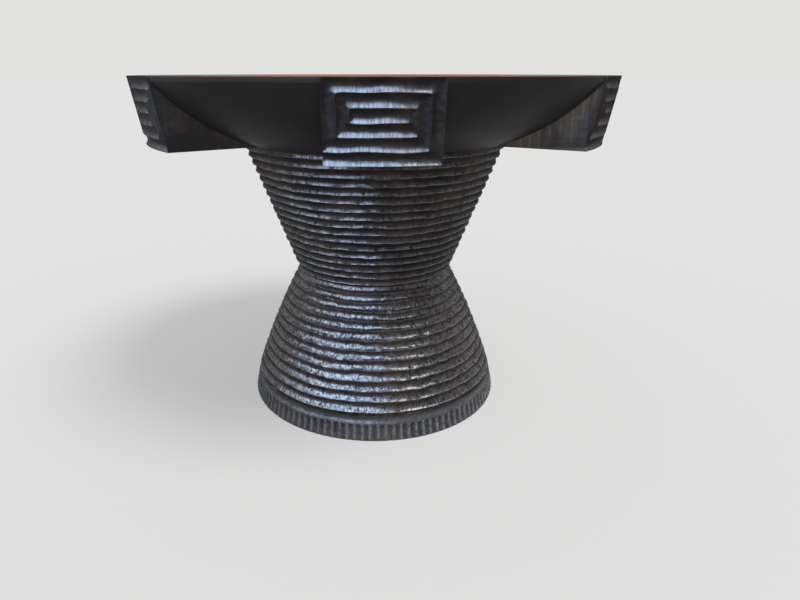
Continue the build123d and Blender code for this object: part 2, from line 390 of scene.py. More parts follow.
def finish_nodes(material, *nodes):
    """Gives CAD nodes a better finish."""
    for node in nodes:
        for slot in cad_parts[node].material_slots:
            slot.material = material


# ---- Shader expressions ------------------------------------------------------------------


class Value:
    """A socket in an expression: each operation on it adds its Math node."""

    def __init__(self, nodes, socket):
        self.nodes = nodes
        self.socket = socket

    def math(self, operation, *others):
        """This value and others through a Math node."""
        settings = {"operation": operation}
        inputs = dict(enumerate((self,) + others))
        return self.nodes.node("ShaderNodeMath", settings, inputs)

    def reflected(self, operation, other):
        """A plain number and then this value through a Math node."""
        return self.nodes.node("ShaderNodeMath", {"operation": operation}, {0: other, 1: self})

    def __add__(self, other):
        return self.math("ADD", other)

    def __radd__(self, other):
        return self.math("ADD", other)

    def __sub__(self, other):
        return self.math("SUBTRACT", other)

    def __rsub__(self, other):
        return self.reflected("SUBTRACT", other)

    def __mul__(self, other):
        return self.math("MULTIPLY", other)

    def __rmul__(self, other):
        return self.math("MULTIPLY", other)

    def __truediv__(self, other):
        return self.math("DIVIDE", other)

    def __pow__(self, other):
        return self.math("POWER", other)


class Nodes:
    """A node tree, and the one way to add a node to it."""

    def __init__(self, tree):
        self.tree = tree

    def node(self, kind, settings=None, inputs=None, output=0):
        """Adds a node with its settings and its inputs' values or links."""
        node = self.tree.nodes.new(kind)
        for name, value in (settings or {}).items():
            setattr(node, name, value)
        for place, value in (inputs or {}).items():
            self.feed(node.inputs[place], value)
        return Value(self, node.outputs[output])

    def feed(self, socket, value):
        """Links or sets one input."""
        if isinstance(value, Value):
            self.tree.links.new(value.socket, socket)
        elif socket.type == "RGBA":
            socket.default_value = (*value[:3], 1)
        else:
            socket.default_value = value


class Finish(Nodes):
    """A material that is built up from its Principled shader."""

    def __init__(self, name):
        self.material = bpy.data.materials.new(name)
        self.material.use_nodes = True
        super().__init__(self.material.node_tree)
        self.shader = self.tree.nodes["Principled BSDF"]

    def set(self, **inputs):
        """Feeds the shader's own inputs."""
        for name, value in inputs.items():
            self.feed(self.shader.inputs[name.replace("_", " ")], value)

    def place(self):
        """The point's place on the table."""
        return self.node("ShaderNodeTexCoord", output="Object")

    def mark(self, name):
        """A number kept on the mesh."""
        return self.node("ShaderNodeAttribute", {"attribute_name": name}, output="Fac")

    def grazing(self):
        """1 where the surface is seen almost edge-on: dull wax shines no more there."""
        facing = self.node("ShaderNodeLayerWeight", None, {"Blend": 0.5}, "Facing")
        return self.ramp(facing, 0.45, 0.90)

    def stretched(self, vector, scale):
        """A vector scaled by its own factor along each axis."""
        settings = {"operation": "MULTIPLY"}
        return self.node("ShaderNodeVectorMath", settings, {0: vector, 1: scale})

    def moved(self, vector, other):
        """The sum of two vectors."""
        return self.node("ShaderNodeVectorMath", {"operation": "ADD"}, {0: vector, 1: other})

    def axis(self, vector, name):
        """One coordinate of a vector."""
        return self.node("ShaderNodeSeparateXYZ", None, {0: vector}, name)

    def out(self, place):
        """A place's distance from the table's axis."""
        x = self.axis(place, "X")
        y = self.axis(place, "Y")
        return (x * x + y * y).math("SQRT")

    def vector(self, x, y, z):
        """A vector from its coordinates."""
        return self.node("ShaderNodeCombineXYZ", None, {0: x, 1: y, 2: z})

    def noise(self, vector, scale, detail=3.0, roughness=0.5, distortion=0.0):
        """Smooth noise, scale to the metre."""
        inputs = {
            "Vector": vector,
            "Scale": scale,
            "Detail": detail,
            "Roughness": roughness,
            "Distortion": distortion,
        }
        return self.node("ShaderNodeTexNoise", None, inputs)

    def ramp(self, value, low, high, to_low=0.0, to_high=1.0):
        """Eases a value from one range into another, held at both ends."""
        settings = {"interpolation_type": "SMOOTHSTEP"}
        inputs = {0: value, 1: low, 2: high, 3: to_low, 4: to_high}
        return self.node("ShaderNodeMapRange", settings, inputs)

    def mix(self, share, first, second):
        """A colour between two colours."""
        settings = {"data_type": "RGBA"}
        return self.node("ShaderNodeMix", settings, {0: share, 6: first, 7: second}, 2)

    def bump(self, height, strength, distance, under=None):
        """A normal from a height, over another bump if there is one."""
        inputs = {"Strength": strength, "Distance": distance, "Height": height}
        if under is not None:
            inputs["Normal"] = under
        return self.node("ShaderNodeBump", None, inputs)


# ---- Finishes ----------------------------------------------------------------------------


# Marks to the metre, for the noises that draw them
CUT_GRAIN = 230
CUT_NICKS = 120
GROWTH_RINGS = 350
TOOL_ALONG = 300
TOOL_ACROSS = 60
TURNING_LINES = 900
PLANK_GRAIN = 95
PORES = 900


def carved_finish():
    """Black-stained carved wood: waxed scoops, red-brown wood showing at the ridges, a painted
    highlight along the ridges and the flutes' arrises, and a painted sheen on the foot band.
    """
    c = colours()
    f = Finish("black_carved_wood")
    place = f.place()
    hollow = f.mark("groove")
    ridge = f.mark("arris")
    grain = f.noise(f.stretched(place, (1, 1, 0.45)), CUT_GRAIN, roughness=0.62)
    flattened = f.stretched(place, (1, 1, 0.7))
    nicks = f.noise(flattened, CUT_NICKS, detail=4, roughness=0.65, distortion=0.8)
    patches = f.noise(place, 13, detail=4, roughness=0.62)
    thin = f.ramp(patches, 0.42, 0.70) * 0.42 + f.ramp(grain, 0.55, 0.75) * 0.35
    wood = f.mix(thin, c.stain, c.stain_thin)
    wood = f.mix(hollow * f.ramp(patches, 0.36, 0.62) * 0.3, wood, c.dust)
    rubbed = ridge * f.ramp(f.noise(place, 60), 0.42, 0.62)
    wood = f.mix(rubbed * 0.8, wood, c.worn)
    foot = f.mark("foot")
    # painted sheen: the foot band, away from its flutes' hollows, is mixed towards the painted
    # highlight colour
    wood = f.mix(foot * (1 - hollow) * 0.16, wood, c.painted_highlight)
    # painted highlight along the rings' ridges and the flutes' arrises
    wood = f.mix(f.mark("painted_highlight") * f.ramp(nicks, 0.36, 0.58, 0.2, 0.7), wood, c.painted_highlight)
    wax = f.ramp(grain, 0.44, 0.56, 0.03, 0.5) + f.ramp(nicks, 0.42, 0.54, 0.03, 0.5)
    grazing = f.grazing()
    wax = wax * f.mark("polish") ** 2 * (1 - ridge * 0.85) * (1 - grazing * 0.85)
    rough = 0.55 - wax * 0.25 + grazing * 0.3
    fine = f.bump(grain, 1.0, 2.2 * MM)
    normal = f.bump(nicks * (1 - foot * 0.6), 1.0, 3.0 * MM, fine)
    f.set(Base_Color=wood, Roughness=rough, Normal=normal, IOR=1.16)
    f.set(Coat_Weight=wax, Coat_Roughness=0.26, Coat_IOR=1.85)
    return f.material


def lug_finish():
    """Black-stained lugs: the growth rings of the wood show on their sides, with painted light:
    the sides are lighter towards +X, as if lit, and darker towards -X, as if in shade.
    """
    c = colours()
    f = Finish("black_lug_wood")
    place = f.place()
    drift = f.noise(f.stretched(place, (1, 1, 0.4)), 16)
    rings = (f.out(place) * GROWTH_RINGS + drift * 8).math("SINE") * 0.5 + 0.5
    plain = 1 - f.mark("carved")
    across = f.mark("across")
    strokes = f.vector(f.mark("along") * TOOL_ALONG, across * TOOL_ACROSS, 0)
    fan = f.noise(strokes, 1, detail=4, roughness=0.65)
    patches = f.noise(place, 22, detail=4, roughness=0.6)
    wood = f.mix(f.ramp(patches, 0.50, 0.78) * 0.4 + plain * 0.3, c.stain, c.stain_thin)
    bands = f.ramp(f.noise(f.stretched(place, (1, 1, 0.3)), 32), 0.32, 0.56)
    # painted light and shade: the growth colour on the planed sides grows from -X to +X, so it is
    # lighter on the right-hand lugs, as if lit, and darker on the left-hand ones, as if in shade
    growth_and_painted_light = f.ramp(f.axis(place, "X"), -0.5, 0.4) * plain * bands
    wood = f.mix(growth_and_painted_light * (0.58 + f.ramp(rings, 0.80, 1.0) * 0.42), wood, c.growth)
    wood = f.mix(f.mark("groove") * f.ramp(patches, 0.35, 0.65) * 0.25, wood, c.dust)
    wood = f.mix(f.mark("arris") * f.ramp(patches, 0.50, 0.66) * 0.5, wood, c.worn)
    grazing = f.grazing()
    wax = f.ramp(fan, 0.40, 0.60, 0.45, 1.0) * f.mark("polish") ** 2
    wax = wax * (1 - plain) * (1 - grazing * 0.85)
    rough = 0.58 - wax * 0.24 + grazing * 0.3
    fine = f.bump(fan * f.mark("carved"), 1.0, 1.2 * MM)
    normal = f.bump(f.noise(place, 180, roughness=0.55), 0.5, 1.0 * MM, fine)
    f.set(Base_Color=wood, Roughness=rough, Normal=normal, IOR=1.2)
    f.set(Coat_Weight=wax * 0.9, Coat_Roughness=0.28, Coat_IOR=1.8)
    return f.material


def bowl_finish():
    """Black-stained turned wood, rubbed to a satin polish."""
    c = colours()
    f = Finish("black_turned_wood")
    place = f.place()
    across = f.vector(f.out(place), 0, f.axis(place, "Z"))
    lines = f.noise(across, TURNING_LINES, detail=2, roughness=0.6)
    patches = f.noise(place, 7, detail=4, roughness=0.55)
    pores = f.noise(f.stretched(place, (1, 1, 0.2)), 420, detail=2)
    wood = f.mix(f.ramp(patches, 0.4, 0.75), c.bowl, c.bowl_thin)
    rough = 0.42 + f.ramp(patches, 0.35, 0.7) * 0.09 + f.ramp(lines, 0.3, 0.8) * 0.06
    fine = f.bump(lines, 0.10, 0.15 * MM)
    normal = f.bump(pores, 0.12, 0.2 * MM, fine)
    f.set(Base_Color=wood, Roughness=rough, Normal=normal, IOR=1.12)
    return f.material


PLANK_JOINT = 0.5 * MM  # half the width of the dark line between two planks
TOP_PLANK = 139 * MM
BARE_PLANK = 145 * MM


def planed_finish(name, dark, light, plank, rough):
    """Straight-grained planed wood, glued up from planks that run along Y."""
    f = Finish(name)
    place = f.place()
    across = f.axis(place, "X") / plank + 0.5
    number = across.math("FLOOR")
    own = f.vector(number * 0.73, number * 1.91, number * 0.37)
    grain_place = f.moved(f.stretched(place, (1, 0.07, 1)), own)
    sweep = f.noise(grain_place, 9, detail=2)
    lines = f.noise(grain_place, PLANK_GRAIN, detail=5, roughness=0.62, distortion=1.4)
    pores = f.noise(f.stretched(place, (1, 0.035, 1)), PORES, detail=2)
    tone = f.ramp(lines, 0.30, 0.72) * 0.6 + f.ramp(sweep, 0.3, 0.7) * 0.4
    own_tone = f.node("ShaderNodeTexWhiteNoise", {"noise_dimensions": "1D"}, {"W": number})
    wood = f.mix(tone + own_tone * 0.24 - 0.12, dark, light)
    wood = f.mix(f.ramp(pores, 0.60, 0.78) * 0.5, wood, [part * 0.6 for part in dark])
    edge = (across - number - 0.5).math("ABSOLUTE")
    joint = f.ramp(edge, 0.5 - PLANK_JOINT / plank, 0.5)
    wood = f.mix(joint * 0.7, wood, [part * 0.4 for part in dark])
    shine = rough + f.ramp(pores, 0.4, 0.8) * 0.12 + f.ramp(sweep, 0.3, 0.7) * 0.06
    normal = f.bump(pores * -1, 0.3, 0.25 * MM)
    f.set(Base_Color=wood, Roughness=shine, Normal=normal, IOR=1.13)
    return f.material


def zinc_finish():
    """Zinc-plated steel with a fine cloudy grain."""
    f = Finish("zinc_plated_steel")
    place = f.place()
    clouds = f.noise(place, 240, detail=4, roughness=0.6)
    tint = f.mix(f.ramp(clouds, 0.35, 0.7), colours().zinc, (0.48, 0.47, 0.42))
    normal = f.bump(f.noise(place, 900, detail=2), 0.15, 0.1 * MM)
    f.set(Base_Color=tint, Roughness=0.28 + clouds * 0.2, Metallic=1.0, Normal=normal)
    return f.material


# ---- Carving -----------------------------------------------------------------------------

RIDGE = 0.32  # the ridge's place up a ring
END_DEPTH = 0.87  # share of the scoop's depth where the rings end
CREST = 0.022  # half the width of the ridge's rounded crest, as a share of the ring
PAINTED_HIGHLIGHT_RISE = 0.01  # the painted highlight sits this share of a ring above the ridge
WEAR_DROP = 0.05  # and the worn strip this share under it
STRIP = 0.04  # half the width of both
LONG_WAVES = (2, 9)  # waves round the table: the fewest and the most
SHORT_WAVES = (14, 60)
RIDGE_WAVES = (12, 44)
STROKE = 13 * MM  # mean length of a gouge cut
CHIPS = 14  # chips in a ridge
CHIP_REACH = 0.05  # how far a chip reaches from the ridge, as a share of the ring


def scooped_ring(steps, deepest):
    """Points up one ring, from its valley over its ridge, as (rise, share of the scoop's
    depth). Each scoop is a hollow between two ridges, deepest at its own place."""
    scoop = [(i + 0.5) / steps for i in range(steps)]
    points = [(RIDGE - CREST, 0.10), (RIDGE, 0.0), (RIDGE + CREST, 0.10)]
    for along in scoop:
        side = along / deepest if along < deepest else (1 - along) / (1 - deepest)
        points.append(((RIDGE + along) % 1, 1 - (1 - side) ** 2))
    return sorted(points)


def ring_shares(number, growth):
    """Where rings begin and end up a side, when the lowest is growth times the highest."""
    heights = [growth + (1 - growth) * i / (number - 1) for i in range(number)]
    return [sum(heights[:i]) / sum(heights) for i in range(number + 1)]


def ringed_side(side, section, depth, number, growth):
    """Points up a ringed side as (r, z, ring, rise in the ring, share of the scoop)."""
    shares = ring_shares(number, growth)
    points = [(*side(0, -depth * END_DEPTH), 0, 0.0, END_DEPTH)]
    for ring, (low, high) in enumerate(zip(shares, shares[1:])):
        for rise, groove in section:
            point = side(low + (high - low) * rise, -depth * groove)
            points.append((*point, ring, rise, groove))
    points.append((*side(1, -depth * END_DEPTH), number - 1, 1.0, END_DEPTH))
    return points


def waves(rng, angles, tracks, between, size):
    """Smooth random waves round the table, one for each track of points."""
    first, last = between
    total = np.zeros(len(angles))
    for harmonic in range(first, last + 1):
        phases = rng.uniform(0, math.tau, tracks.max() + 1)
        strengths = rng.normal(0, 1, tracks.max() + 1)
        total += strengths[tracks] * np.cos(harmonic * angles + phases[tracks])
    return total * size / math.sqrt((last - first + 1) / 2) / 2


def facets(rng, angles, tracks, radius, size):
    """Flat gouge cuts of uneven length round the table, one row for each track."""
    total = np.zeros(len(angles))
    for track in range(tracks.max() + 1):
        strokes = int(math.tau * radius / STROKE)
        knots = np.sort(rng.uniform(-math.pi, math.pi, strokes))
        heights = rng.uniform(-size, size, strokes)
        here = tracks == track
        total[here] = np.interp(angles[here], knots, heights, period=math.tau)
    return total


def chipped(rng, angles, tracks, radius, size):
    """Small chips out of the ridges, each a few millimetres long."""
    total = np.zeros(len(angles))
    for track in range(tracks.max() + 1):
        here = tracks == track
        for _ in range(CHIPS):
            place = rng.uniform(-math.pi, math.pi)
            half = rng.uniform(2.5, 7) * MM / radius
            apart = (angles[here] - place + math.pi) % math.tau - math.pi
            total[here] += rng.uniform(0.3, 1) * size * np.exp(-((apart / half) ** 2))
    return total


def carve_rings(piece, slope, radius, seed):
    """Takes the turned evenness out of a drum's rings: their ridges wander, their scoops
    swell and shrink, and the gouge leaves facets and chips. slope is the side's lean at each
    point, and radius the drum's mean radius."""
    s = sizes()
    rng = np.random.default_rng(seed)
    points = points_of(piece)
    carved = marks(piece, "ring") >= 0
    rings = np.rint(marks(piece, "ring")[carved]).astype(int)
    rise = marks(piece, "rise")[carved]
    angles = np.arctan2(points[carved, 1], points[carved, 0])
    last = rings.max()
    swelling = waves(rng, angles, rings, LONG_WAVES, 1)
    swelling += waves(rng, angles, rings, SHORT_WAVES, 0.45)
    # The same seed twice: a ring's upper groove is the next ring's lower one
    groove_low = shared_waves(np.random.default_rng(seed + 1), angles, rings, last)
    groove_high = shared_waves(np.random.default_rng(seed + 1), angles, rings + 1, last)
    shift = (groove_low * (1 - rise) + groove_high * rise) * s.ring_wander
    crown = np.sin(math.pi * rise)
    facet = facets(rng, angles, rings, radius, s.tool_marks)
    facet_high = facets(rng, angles, rings, radius, s.tool_marks)
    out = crown * (swelling * 0.5 * MM + facet * (1 - rise) + facet_high * rise)
    near_ridge = np.exp(-(((rise - RIDGE) / CHIP_REACH) ** 2))
    out -= near_ridge * chipped(rng, angles, rings, radius, s.chips)
    move_r = out * np.cos(slope[carved]) + shift * np.sin(slope[carved])
    move_z = -out * np.sin(slope[carved]) + shift * np.cos(slope[carved])
    points[carved, 0] += move_r * np.cos(angles)
    points[carved, 1] += move_r * np.sin(angles)
    points[carved, 2] += move_z
    move_points(piece, points)


def shared_waves(rng, angles, grooves, last):
    """Waves of the grooves between rings; the first and last groove stay put. The last groove
    is always counted, so that each call with a seed draws the same waves."""
    held = (grooves == 0) | (grooves == last + 1)
    grooves = np.append(grooves, last + 1)
    angles = np.append(angles, 0)
    total = waves(rng, angles, grooves, LONG_WAVES, 1)
    total += waves(rng, angles, grooves, RIDGE_WAVES, 0.7)
    total = total[:-1]
    total[held] = 0
    return total


def mark_rings(piece, points):
    """Keeps each outline point's ring and its rise in the ring, before it is turned."""
    plain = (0, 0, -1, 0, 0)
    whole = [tuple(point) + plain[len(point) :] for point in points]
    mark(piece, "ring", [point[2] for point in whole])
    mark(piece, "rise", [point[3] for point in whole])
    mark(piece, "groove", [point[4] for point in whole])


def mark_wear_and_painted_highlight(piece):
    """Marks the rings' ridges, for a painted highlight, and the strip just under each, for worn
    wood, for the finish.
    """
    ringed = marks(piece, "ring") >= 0
    above = marks(piece, "rise") - RIDGE
    for name, offset in (("painted_highlight", PAINTED_HIGHLIGHT_RISE), ("arris", -WEAR_DROP)):
        mark(piece, name, np.where(ringed, np.exp(-(((above - offset) / STRIP) ** 2)), 0))


# ---- Pedestal ----------------------------------------------------------------------------


def upper_side(share, out=0.0):
    """A point up the upper drum's side, from the waist to the crown."""
    s = sizes()
    rise, run = s.drum_top - s.waist_height, s.crown_radius - s.waist_radius
    slant = math.hypot(rise, run)
    return (
        s.waist_radius + run * share + out * rise / slant,
        s.waist_height + rise * share - out * run / slant * (0 < share < 1),
    )


def bell_arc():
    """The side of the bell, from the foot to the waist."""
    s = sizes()
    return SwelledArc((s.bell_radius, s.bell_foot), (s.waist_radius, s.waist_height), s.bell_swell)


def bell_side(share, out=0.0):
    """A point up the lower drum's side; its two ends keep their heights."""
    r, z = bell_arc().at(share, out)
    return (r, z if 0 < share < 1 else bell_arc().at(share)[1])


def screw_holes(low, high):
    """Cutters for the crown screws' holes."""
    s = sizes()
    cutters = []
    for place in range(PLACES):
        angle = math.tau * place / PLACES
        centre = (s.screw_circle * math.cos(angle), s.screw_circle * math.sin(angle))
        bpy.ops.mesh.primitive_cylinder_add(
            vertices=32,
            radius=s.screw_hole,
            depth=high - low,
            location=(*centre, (low + high) / 2),
        )
        cutters.append(bpy.context.object)
    return cutters


def make_upper_drum():
    """Upper drum: outline turned, rings carved, bored for the bowl, tenon and screws."""
    s = sizes()
    side = ringed_side(upper_side, scooped_ring(8, 0.55), s.upper_scoop, s.upper_rings, 1.0)
    points = [
        (0, s.waist_height + s.socket_depth),
        (s.socket_radius, s.waist_height + s.socket_depth),
        (s.socket_radius, s.waist_height),
        *side,
        (s.bore_radius, s.drum_top),
        (s.bore_radius, s.waist_height + s.waist_block),
        (0, s.waist_height + s.waist_block),
    ]
    piece = outline("drum_upper_carved", [point[:2] for point in points])
    mark_rings(piece, points)
    turn(piece, UPPER_STEPS)
    lean = math.atan2(s.crown_radius - s.waist_radius, s.drum_top - s.waist_height)
    carve_rings(piece, np.full(len(piece.data.vertices), lean), radius=0.24, seed=11)
    mark_wear_and_painted_highlight(piece)
    tip = s.drum_top + s.bowl_floor + s.washer - s.screw_reach
    cut(piece, screw_holes(tip, s.drum_top + OVERCUT))
    smooth(piece, SOFT_EDGE)
    mark_polish(piece)
    return piece


COVE = [(-0.4, 0.6), (-1.0, 4), (-0.9, 8), (0.4, 12)]  # mm out from the bell's end, and down
FLUTE_ROWS = [0.972, 0.94, 0.90, 0.85, 0.79, 0.72, 0.50, 0.25, 0.06]  # shares up the band
FLUTE_ARCH = 9 * MM  # height of a flute's rounded head
FLUTE_RUN = 8 * MM  # a flute runs to its full depth within this height
FLUTE_START = 0.3  # share of its depth that it has at the floor
FLUTE_ARRIS = 0.32  # a painted highlight lies on this share of a flute's half-width


def foot_points():
    """Points down the hollow border and the fluted band, at the rows that the flutes need."""
    s = sizes()
    band = [
        (
            s.foot_radius + (s.foot_band_radius - s.foot_radius) * row,
            s.foot_band_height * row,
        )
        for row in FLUTE_ROWS
    ]
    border = [(s.bell_radius + out * MM, s.bell_foot - drop * MM) for out, drop in COVE]
    lip = (s.foot_band_radius - 0.7 * MM, s.foot_band_height + 2.5 * MM)
    edge = (s.foot_band_radius, s.foot_band_height)
    return [*border, lip, edge, *band, (s.foot_radius - 1.0 * MM, 0)]


def cut_flutes(piece):
    """Gouges arched flutes round the foot; the arrises between them stay."""
    s = sizes()
    rng = np.random.default_rng(29)
    points = points_of(piece)
    radius = np.hypot(points[:, 0], points[:, 1])
    height = points[:, 2]
    on_band = (height < s.foot_band_height + 0.1 * MM) & (radius > s.foot_band_radius - 2 * MM)
    angle = np.arctan2(points[:, 1], points[:, 0])
    place = (angle / math.tau) * s.flutes
    number = np.floor(place + 0.5).astype(int) % s.flutes
    across = 2 * (place - np.floor(place + 0.5))
    tops = rng.uniform(0.93, 1.0, s.flutes)[number] * s.foot_band_height
    above = np.clip((height - (tops - FLUTE_ARCH)) / FLUTE_ARCH, 0, 2)
    hollow = np.clip(1 - across**2 - above**2, 0, 1) ** 0.6
    hollow *= np.clip(FLUTE_START + height / FLUTE_RUN, 0, 1)
    depth = s.flute_depth * rng.uniform(0.75, 1.1, s.flutes)[number] * hollow * on_band
    points[:, 0] -= depth * np.cos(angle)
    points[:, 1] -= depth * np.sin(angle)
    move_points(piece, points)
    fluted = on_band & (above < 1)
    edge = np.exp(-(((1 - np.abs(across)) / FLUTE_ARRIS) ** 2)) * fluted
    mark(piece, "groove", np.maximum(marks(piece, "groove"), hollow * fluted * 0.8))
    foot = (height < s.bell_foot - 1 * MM) & (radius > s.bell_radius - 3 * MM)
    mark(piece, "foot", foot)
    # the arrises between the flutes carry the painted highlight
    mark(piece, "painted_highlight", np.maximum(marks(piece, "painted_highlight"), edge))


def make_lower_drum():
    """Lower drum: ringed bell on a fluted foot, bored, with its socket and rebate."""
    s = sizes()
    section, growth = scooped_ring(6, 0.5), s.lower_ring_growth
    side = ringed_side(bell_side, section, s.lower_scoop, s.lower_rings, growth)
    floor_of_bore = s.waist_height - s.waist_block
    gap = s.glue_gap
    points = [
        (0, s.waist_height - s.socket_depth),
        (s.socket_radius, s.waist_height - s.socket_depth),
        (s.socket_radius, s.waist_height - gap),
        (side[-1][0], s.waist_height - gap, *side[-1][2:]),
        *reversed(side[:-1]),
        *foot_points(),
        (s.base_recess, 0),
        (s.base_recess, s.base_depth),
        (s.bore_radius, s.base_depth),
        (s.bore_radius, floor_of_bore),
        (0, floor_of_bore),
    ]
    piece = outline("drum_lower_carved", [point[:2] for point in points])
    mark_rings(piece, points)
    turn(piece, FLUTE_STEPS * s.flutes)
    arc = bell_arc()
    height = points_of(piece)[:, 2]
    lean = -np.arcsin(np.clip((height - arc.centre[1]) / arc.radius, -1, 1))
    carve_rings(piece, lean, radius=0.26, seed=23)
    mark_wear_and_painted_highlight(piece)
    cut_flutes(piece)
    smooth(piece, SOFT_EDGE)
    mark_polish(piece)
    return piece


# ---- Bowl and lugs -----------------------------------------------------------------------


def lug_block(name, columns, grow=0.0, rows=None):
    """A lug's plain block, or, grown, the housing that the bowl gives it."""
    s = sizes()
    head = s.board_radius + s.glue_gap - grow
    toe = bowl_arc().r_at(s.lug_bottom)
    seat = math.atan2(s.board_seat - s.lug_bottom, head - toe)
    face = [
        (
            s.lug_top_radius - s.lug_lean * row + grow,
            s.table_height + (s.lug_bottom - s.table_height) * row + grow * (row == 0),
        )
        for row in rows or (0, 1)
    ]
    section = [
        (head, s.table_height + grow),
        *face,
        (toe - grow / math.sin(seat), s.lug_bottom),
        (head, s.board_seat + grow),
    ]
    piece = outline(name, section)
    extrude_along_x(piece, columns, middle=0, sense=-1)
    return piece


def bow(piece):
    """Bends a flat block round the table's axis: each point keeps its radius and its x."""
    points = points_of(piece)
    points[:, 1] = -np.sqrt(points[:, 1] ** 2 - points[:, 0] ** 2)
    move_points(piece, points)


def eased(steps):
    """Places from 0 to 1 that crowd towards both ends."""
    return [(1 - math.cos(math.pi * i / steps)) / 2 for i in range(steps + 1)]


def spread(marks_at, steps):
    """Places between marks: each stretch gets its steps, crowded towards its ends."""
    places = [marks_at[0]]
    for low, high, number in zip(marks_at, marks_at[1:], steps):
        places += [low + (high - low) * place for place in eased(number)[1:]]
    return places


def spiral_path():
    """Corners of the spiral's ridge, as (across from the left, down the face in rows)."""
    s = sizes()
    path = [(0, s.spiral_rows - 1)]
    for loop in range(1, s.spiral_rows // 2):
        near, far = loop * s.spiral_column, s.lug_width - loop * s.spiral_column
        path += [(far, s.spiral_rows - loop), (far, loop), (near, loop)]
        path += [(near, s.spiral_rows - 1 - loop)]
    return path + [(s.lug_width - s.spiral_end, s.spiral_rows // 2)]


def lug_columns():
    """Places across a lug, crowded at the spiral's upright ridges."""
    s = sizes()
    column, width = s.spiral_column, s.lug_width
    cuts = [0, column, 2 * column, width - s.spiral_end, width - 2 * column, width - column, width]
    return [place - width / 2 for place in spread(cuts, [12, 12, 32, 6, 12, 12])]


def plain_waves(rng, across, down, shortest, longest, size):
    """Smooth random waves over a lug's face."""
    total = np.zeros(len(across))
    for _ in range(10):
        turn_angle = rng.uniform(0, math.tau)
        step = math.tau / rng.uniform(shortest, longest)
        run = across * math.cos(turn_angle) + down * math.sin(turn_angle)
        total += np.cos(step * run + rng.uniform(0, math.tau))
    return total * size / 3


BLEND = 0.25  # how softly the scoop's walls run into each other in its corners
NO_WALL = 1.0  # metres: further off than any wall of the channel
CORNER_PULL = 0.29  # a corner of the ridge is drawn in by this share of its rounding
CORNER_REACH = 0.72  # and the pull dies away over this share of it


def channel(across, down, path):
    """How far each point of a lug's face is from the walls of the spiral's channel, and
    whether the nearest ridge is upright. The lowest turn has no wall at the left."""
    s = sizes()
    left = np.where(down > path[0][1], NO_WALL, across)
    walls = [left, s.lug_width - across, down, s.table_height - s.lug_bottom - down]
    nearest = np.full(len(across), NO_WALL)
    upright = np.zeros(len(across))
    for (u0, v0), (u1, v1) in zip(path, path[1:]):
        past_u = np.maximum(np.maximum(min(u0, u1) - across, across - max(u0, u1)), 0)
        past_v = np.maximum(np.maximum(min(v0, v1) - down, down - max(v0, v1)), 0)
        walls.append(np.hypot(past_u, past_v))
        upright = np.where(walls[-1] < nearest, float(u0 == u1), upright)
        nearest = np.minimum(nearest, walls[-1])
    apart = sum(np.maximum(wall, 0.01 * MM) ** (-1 / BLEND) for wall in walls) ** -BLEND
    return np.hypot(apart, s.spiral_crest) - s.spiral_crest, upright > 0.5


def wander(rng, across, down, path, free):
    """Moves over a lug's face: the spiral's lines wander and its corners are rounded, and
    free keeps the face's own edges straight."""
    s = sizes()
    move_u = plain_waves(rng, across, down, 35 * MM, 90 * MM, s.spiral_wander) * free
    move_v = plain_waves(rng, across, down, 30 * MM, 80 * MM, s.spiral_wander) * free
    reach = CORNER_REACH * s.spiral_round
    for before, corner, after in zip(path, path[1:], path[2:]):
        away = np.hypot(across - corner[0], down - corner[1])
        pull = CORNER_PULL * s.spiral_round * np.exp(-away / reach) * free
        move_u += pull * np.sign(before[0] + after[0] - 2 * corner[0])
        move_v -= pull * np.sign(before[1] + after[1] - 2 * corner[1])
    return move_u, move_v


def carve_spiral(piece, seed):
    """Scoops a squared spiral channel out of a flat block's face; a ridge is left between
    its turns, and the lowest turn runs out at the left."""
    s = sizes()
    rng = np.random.default_rng(seed)
    points = points_of(piece)
    height = s.table_height - s.lug_bottom
    row = height / s.spiral_rows
    down = s.table_height - points[:, 2]
    across = points[:, 0] + s.lug_width / 2
    face_radius = s.lug_top_radius - s.lug_lean * down / height
    front = np.abs(-points[:, 1] - face_radius) < 0.01 * MM
    path = [(u, v * row) for u, v in spiral_path()]
    apart, upright = channel(across, down, path)
    middle = row / 2 * 2**-BLEND
    hollow = 1 - (1 - np.clip(apart / middle, 0, 1)) ** 2
    depth = s.spiral_depth * (1 + plain_waves(rng, across, down, 40 * MM, 90 * MM, 0.12)) * hollow
    depth += plain_waves(rng, across, down, 9 * MM, 22 * MM, s.tool_marks * 0.3) * hollow
    inside = np.minimum(np.minimum(across, s.lug_width - across), np.minimum(down, height - down))
    free = np.clip(inside / (row / 2), 0, 1)
    move_u, move_v = wander(rng, across, down, path, free)
    lean = math.atan2(s.lug_lean, height)
    points[front, 0] += move_u[front]
    points[front, 1] += depth[front] * math.cos(lean) - move_v[front] * math.sin(lean)
    points[front, 2] += depth[front] * math.sin(lean) * free[front] + move_v[front]
    move_points(piece, points)
    mark(piece, "carved", front)
    mark(piece, "groove", hollow * front)
    mark(piece, "arris", np.exp(-((apart / (0.9 * MM)) ** 2)) * front)
    mark(piece, "across", np.where(upright, across, down))
    mark(piece, "along", np.where(upright, down, across) + seed)


def mortise(grow=0.0):
    """Cutter for the front lug's tongue, in the lug and in the bowl."""
    s = sizes()
    toe = bowl_arc().r_at(s.lug_bottom)
    head = s.board_radius
    tilt = math.atan2(head - toe, s.board_seat - s.lug_bottom)
    bpy.ops.mesh.primitive_cube_add(
        size=1,
        location=(0, -(toe + head) / 2, (s.lug_bottom + s.board_seat) / 2),
        rotation=(tilt, 0, 0),
        scale=(s.tongue_width + 2 * grow, s.tongue_length, s.tongue_thickness + 2 * grow),
    )
    bpy.ops.object.transform_apply(location=True, rotation=True, scale=True)
    return bpy.context.object


